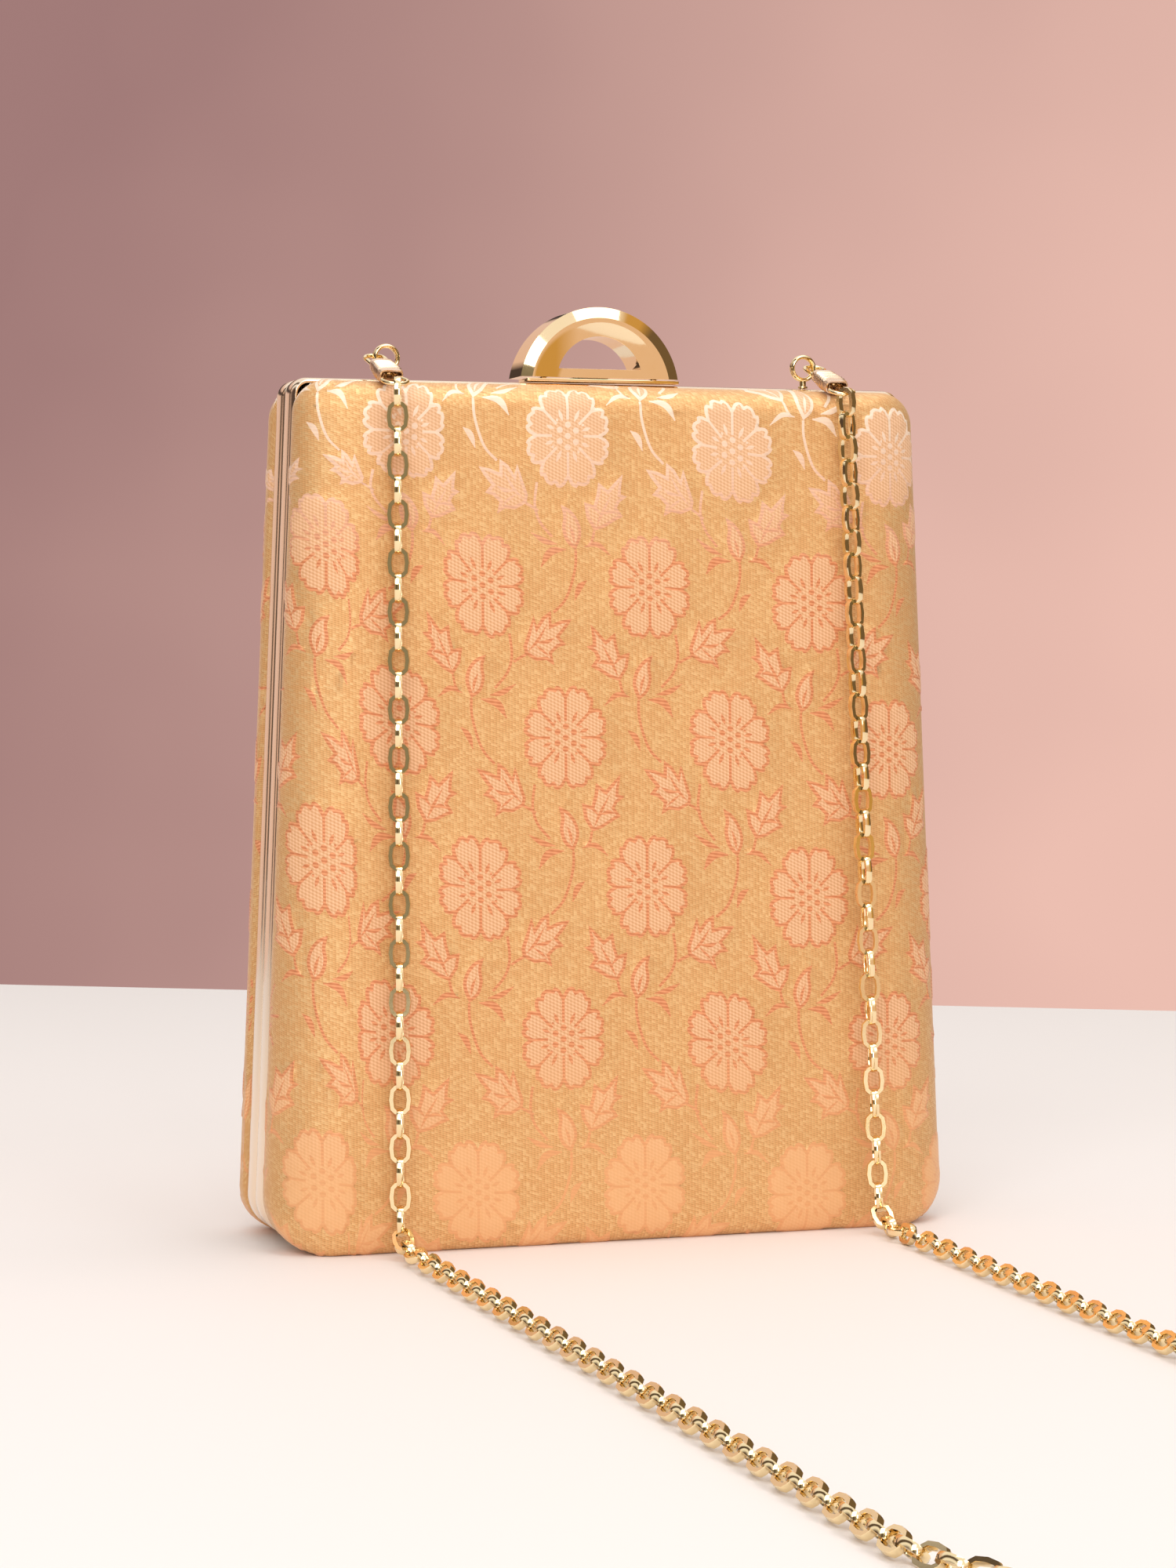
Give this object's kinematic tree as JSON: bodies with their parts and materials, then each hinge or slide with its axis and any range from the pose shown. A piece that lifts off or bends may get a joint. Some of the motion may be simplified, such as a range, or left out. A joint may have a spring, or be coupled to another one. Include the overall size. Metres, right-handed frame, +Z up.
{
  "type": "box clutch bag",
  "caption": "Hard box clutch bag: fabric-covered moulded halves in metal frames, hinged below, with an arch clasp on top and a link chain strap on spring hooks.",
  "frame": {"origin": "on the table under the middle of the bag, in the plane where the two halves meet", "axes": "+Z up; +X to the right as the front is looked at, along the width; -Y is the front half's face, which has the hooks and the chain, and +Y the back half's"},
  "size_m": [0.1576, 0.3683, 0.2073],
  "materials": {
    "brocade": "floral brocade, raised silk motifs on a gold ground",
    "shell_board": "moulded board",
    "lining": "plain woven lining",
    "frame_gold": "polished, champagne gold plate",
    "clasp_gold": "polished, yellow gold plate",
    "chain_gold": "polished, pale gold plate",
    "steel": "bright drawn wire and sheet"
  },
  "bodies": {
    "front_half": {"front_cover": "brocade", "front_shell": "shell_board", "front_lining": "lining", "front_frame": "frame_gold", "clasp_base": "clasp_gold", "clasp_pin": "steel", "hinge_front_leaf_left": "frame_gold", "hinge_pin_left": "steel", "eye_left": "chain_gold", "hook_left": "chain_gold", "hook_sleeve_left": "chain_gold", "hook_ring_left": "chain_gold", "hinge_front_leaf_right": "frame_gold", "hinge_pin_right": "steel", "eye_right": "chain_gold", "hook_right": "chain_gold", "hook_sleeve_right": "chain_gold", "hook_ring_right": "chain_gold", "chain_drop_left": "chain_gold", "chain_run_left": "chain_gold", "chain_bend": "chain_gold", "chain_run_right": "chain_gold", "chain_drop_right": "chain_gold"},
    "back_half": {"back_cover": "brocade", "back_shell": "shell_board", "back_lining": "lining", "back_frame": "frame_gold", "clasp_catch": "clasp_gold", "hinge_back_leaf_left": "frame_gold", "hinge_back_leaf_right": "frame_gold"},
    "arch": {"clasp_arch": "clasp_gold", "clasp_tongue": "steel"},
    "gate_left": {"hook_gate_left": "chain_gold"},
    "gate_right": {"hook_gate_right": "chain_gold"}
  },
  "joints": [
    {"name": "case_hinge", "type": "hinge", "parent": "front_half", "child": "back_half", "pos_m": [0, 0, 0.0011], "axis": [-1, 0, 0], "range_deg": [0, 70]},
    {"name": "clasp_tilt", "type": "hinge", "parent": "front_half", "child": "arch", "pos_m": [0, -0.0036, 0.1925], "axis": [1, 0, 0], "range_deg": [0, 12], "stiffness_Nm_per_rad": 0.05, "springref_deg": -17.19},
    {"name": "gate_left", "type": "hinge", "parent": "front_half", "child": "gate_left", "pos_m": [-0.0534, -0.01167, 0.19192], "axis": [0, 0.342, -0.9397], "range_deg": [0, 18], "stiffness_Nm_per_rad": 0.002, "springref_deg": -11.46},
    {"name": "gate_right", "type": "hinge", "parent": "front_half", "child": "gate_right", "pos_m": [0.0534, -0.01167, 0.19192], "axis": [0, -0.342, 0.9397], "range_deg": [0, 18], "stiffness_Nm_per_rad": 0.002, "springref_deg": -11.46}
  ]
}
